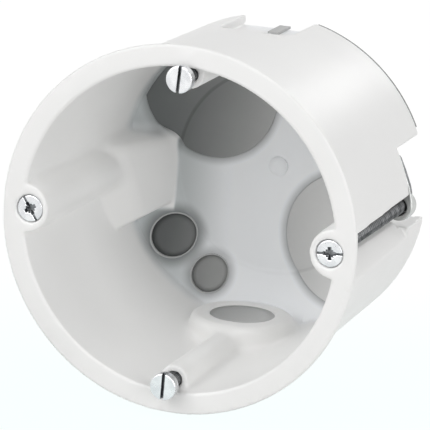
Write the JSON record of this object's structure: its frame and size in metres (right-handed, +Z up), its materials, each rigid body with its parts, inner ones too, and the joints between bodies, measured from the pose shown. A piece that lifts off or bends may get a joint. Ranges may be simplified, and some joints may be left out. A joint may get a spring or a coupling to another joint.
{
  "type": "drywall back box",
  "caption": "Round flush back box for one wiring device in a hollow wall, with swing-out clamping claws, soft cable entries and device screws.",
  "frame": {"origin": "on the box's axis, in the plane of the wall's surface, where the rim's back face rests", "axes": "+Y along the axis into the wall, +X right and +Z up as seen from the room in front"},
  "size_m": [0.072, 0.0601, 0.072],
  "materials": {
    "shell": "satin moulded plastic",
    "membrane": "soft matt elastomer",
    "screw": "bright zinc plated",
    "claw": "zinc plated pressed steel"
  },
  "bodies": {
    "box": {"box_shell": "shell", "large_membrane_left": "membrane", "large_membrane_right": "membrane", "cable_membrane_top": "membrane", "cable_membrane_bottom": "membrane", "side_membrane_top": "membrane", "side_membrane_bottom": "membrane"},
    "device_screw_top": {"device_screw_top": "screw"},
    "device_screw_bottom": {"device_screw_bottom": "screw"},
    "claw_screw_left": {"claw_screw_left": "screw"},
    "claw_screw_right": {"claw_screw_right": "screw"},
    "claw_left": {"claw_left": "claw"},
    "claw_right": {"claw_right": "claw"}
  },
  "joints": [
    {"name": "device_screw_top_turn", "type": "hinge", "parent": "box", "child": "device_screw_top", "pos_m": [0, 0, 0.03], "axis": [0, 1, 0], "range_deg": [-4080, 1080]},
    {"name": "device_screw_bottom_turn", "type": "hinge", "parent": "box", "child": "device_screw_bottom", "pos_m": [0, 0, -0.03], "axis": [0, 1, 0], "range_deg": [-4080, 1080]},
    {"name": "claw_screw_left_turn", "type": "hinge", "parent": "box", "child": "claw_screw_left", "pos_m": [-0.0305, 0, 0], "axis": [0, 1, 0], "range_deg": [-1080, 12960]},
    {"name": "claw_screw_right_turn", "type": "hinge", "parent": "box", "child": "claw_screw_right", "pos_m": [0.0305, 0, 0], "axis": [0, 1, 0], "range_deg": [-1080, 12960]},
    {"name": "claw_left_swing", "type": "hinge", "parent": "box", "child": "claw_left", "pos_m": [-0.0305, 0.041, 0], "axis": [0, 1, 0], "range_deg": [0, 90]},
    {"name": "claw_right_swing", "type": "hinge", "parent": "box", "child": "claw_right", "pos_m": [0.0305, 0.041, 0], "axis": [0, 1, 0], "range_deg": [0, 90]}
  ]
}
